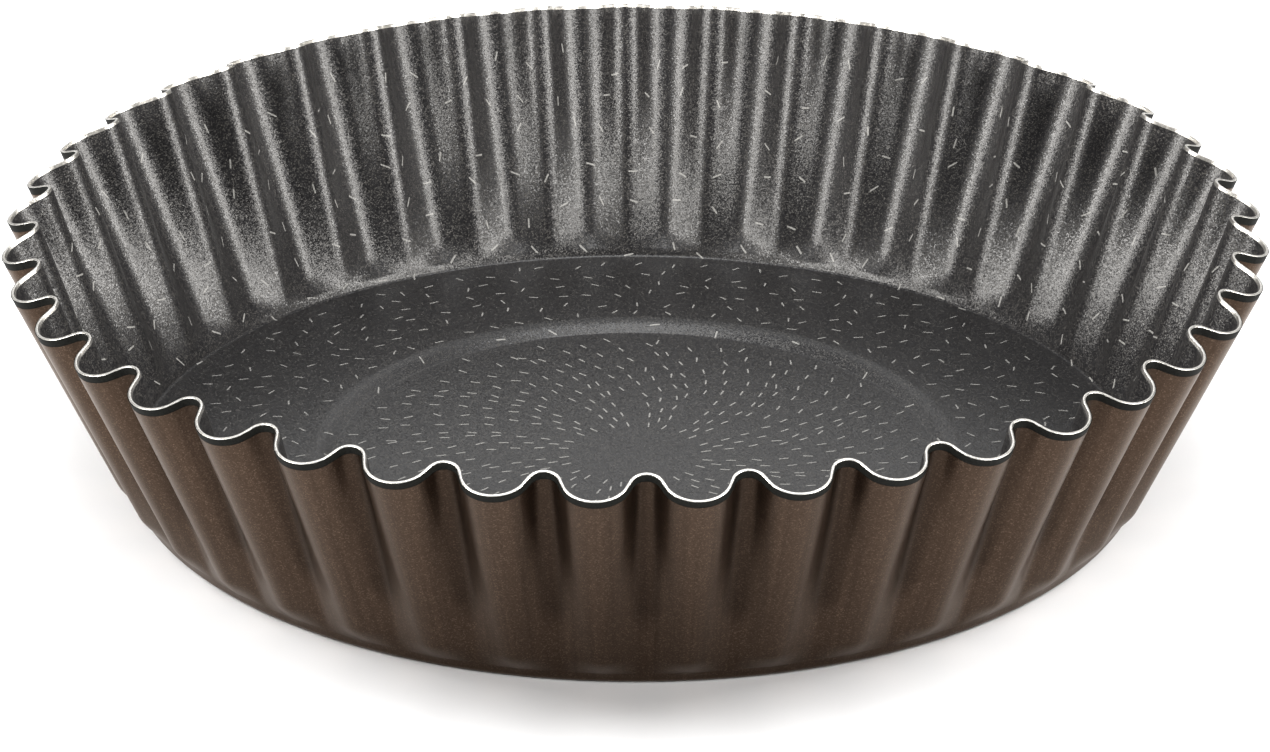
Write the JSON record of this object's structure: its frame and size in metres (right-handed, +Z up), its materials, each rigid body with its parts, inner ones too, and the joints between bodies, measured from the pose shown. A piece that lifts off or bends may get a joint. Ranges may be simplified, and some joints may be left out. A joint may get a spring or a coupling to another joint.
{
  "type": "fluted tart pan",
  "caption": "Deep round tart pan pressed from one sheet, with a fluted sloping wall, a wavy bare rim, a stepped floor and non-stick coatings.",
  "frame": {"origin": "centre of the underside, on the surface that the pan stands on", "axes": "+Z up out of the pan along its axis; +X and +Y across it"},
  "size_m": [0.2698, 0.2698, 0.0559],
  "materials": {
    "bare_aluminium": "cut edge, bright",
    "nonstick_coating": "satin charcoal non-stick with a fine sparkle and small printed dashes",
    "brown_lacquer": "satin metallic brown",
    "dark_primer": "matte dark grey"
  },
  "bodies": {
    "root": {"aluminium_shell": "bare_aluminium", "nonstick_lining": "nonstick_coating", "outer_lacquer": "brown_lacquer", "base_lacquer": "brown_lacquer", "rim_primer_band": "dark_primer"}
  },
  "joints": []
}
